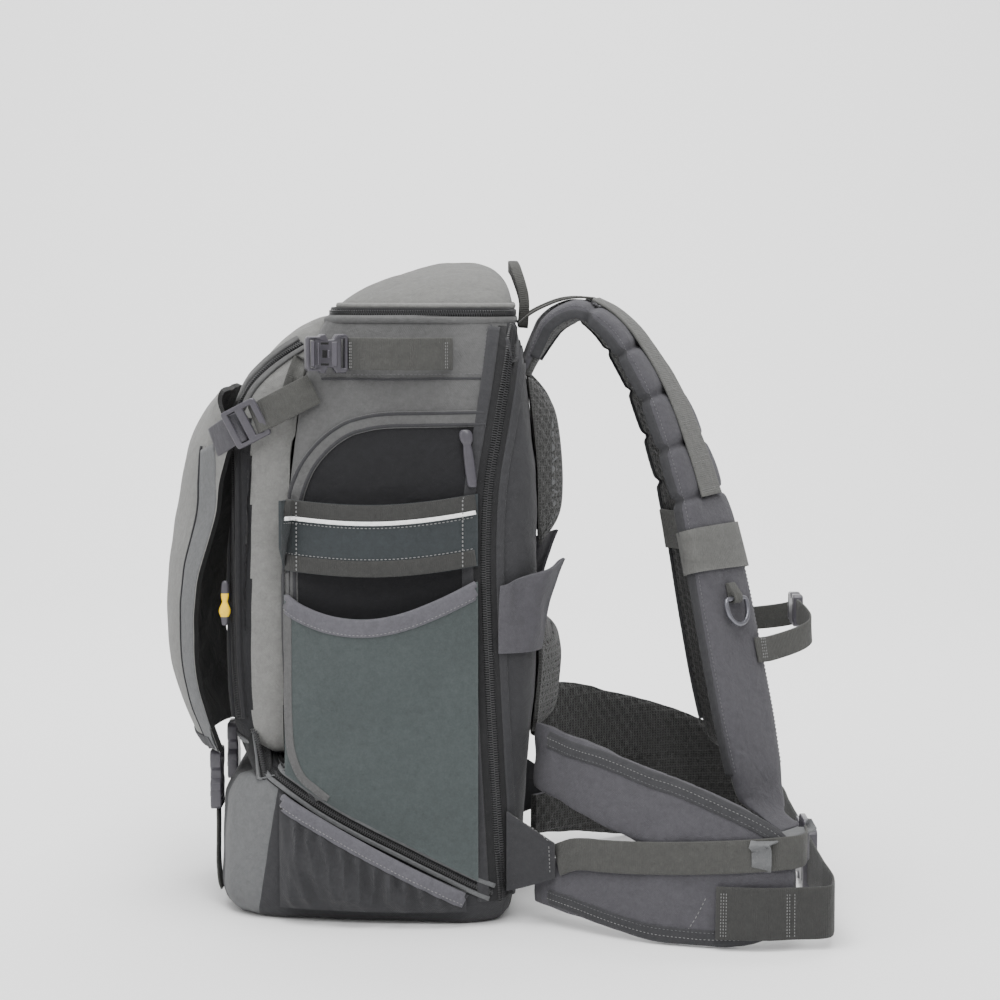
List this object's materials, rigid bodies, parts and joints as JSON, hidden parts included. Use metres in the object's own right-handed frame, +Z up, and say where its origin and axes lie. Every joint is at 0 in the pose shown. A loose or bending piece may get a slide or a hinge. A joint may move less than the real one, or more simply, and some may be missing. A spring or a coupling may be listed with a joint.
{
  "type": "camera backpack",
  "caption": "Padded camera backpack with a strapped front flap, open side pockets, curved shoulder straps and a closed padded hip belt.",
  "frame": {"origin": "the middle of the flat base the pack stands on", "axes": "+X towards the wearer, out of the back panel; +Y to the wearer's left; +Z up"},
  "size_m": [0.538, 0.4716, 0.521],
  "materials": {
    "light_fabric": "woven nylon, matt",
    "dark_fabric": "woven nylon, matt",
    "stretch_fabric": "smooth stretch knit",
    "air_mesh": "open spacer mesh",
    "webbing": "ribbed webbing",
    "buckle_plastic": "moulded, satin",
    "yellow_plastic": "moulded, satin",
    "ring_metal": "satin grey"
  },
  "bodies": {
    "pack": {"base_shell": "dark_fabric", "main_shell": "dark_fabric", "top_cover": "light_fabric", "front_pocket": "dark_fabric", "front_flap": "light_fabric", "lumbar_pad": "air_mesh", "grab_handle": "webbing", "hip_buckle_socket": "buckle_plastic", "hip_buckle_plug": "buckle_plastic", "sternum_buckle": "buckle_plastic", "upper_back_pad_right": "air_mesh", "side_pocket_right": "stretch_fabric", "side_band_right": "webbing", "base_pocket_right": "dark_fabric", "corner_pocket_right": "dark_fabric", "side_strap_right": "webbing", "side_buckle_right": "buckle_plastic", "flap_strap_right": "webbing", "flap_lock_right": "buckle_plastic", "base_strap_right": "webbing", "base_buckle_right": "buckle_plastic", "shoulder_strap_right": "dark_fabric", "daisy_web_right": "light_fabric", "load_lifter_right": "webbing", "strap_sleeve_right": "webbing", "ring_tab_right": "webbing", "sternum_web_right": "webbing", "anchor_tab_right": "dark_fabric", "lower_web_right": "webbing", "ladder_lock_right": "buckle_plastic", "hip_wing_right": "dark_fabric", "hip_web_right": "webbing", "side_zip_pull_right": "buckle_plastic", "front_zip_pull_right": "yellow_plastic", "upper_back_pad_left": "air_mesh", "side_pocket_left": "stretch_fabric", "side_band_left": "webbing", "base_pocket_left": "dark_fabric", "corner_pocket_left": "dark_fabric", "side_strap_left": "webbing", "side_buckle_left": "buckle_plastic", "flap_strap_left": "webbing", "flap_lock_left": "buckle_plastic", "base_strap_left": "webbing", "base_buckle_left": "buckle_plastic", "shoulder_strap_left": "dark_fabric", "daisy_web_left": "light_fabric", "load_lifter_left": "webbing", "strap_sleeve_left": "webbing", "ring_tab_left": "webbing", "sternum_web_left": "webbing", "anchor_tab_left": "dark_fabric", "lower_web_left": "webbing", "ladder_lock_left": "buckle_plastic", "hip_wing_left": "dark_fabric", "hip_web_left": "webbing", "side_zip_pull_left": "buckle_plastic", "front_zip_pull_left": "yellow_plastic"},
    "ring_right": {"d_ring_right": "ring_metal"},
    "ring_left": {"d_ring_left": "ring_metal"}
  },
  "joints": [
    {"name": "ring_right_swing", "type": "hinge", "parent": "pack", "child": "ring_right", "pos_m": [0.28101, -0.11717, 0.2543], "axis": [-0.6782, -0.7349, 0], "range_deg": [0, 110]},
    {"name": "ring_left_swing", "type": "hinge", "parent": "pack", "child": "ring_left", "pos_m": [0.28101, 0.11717, 0.2543], "axis": [0.6782, -0.7349, 0], "range_deg": [0, 110]}
  ]
}
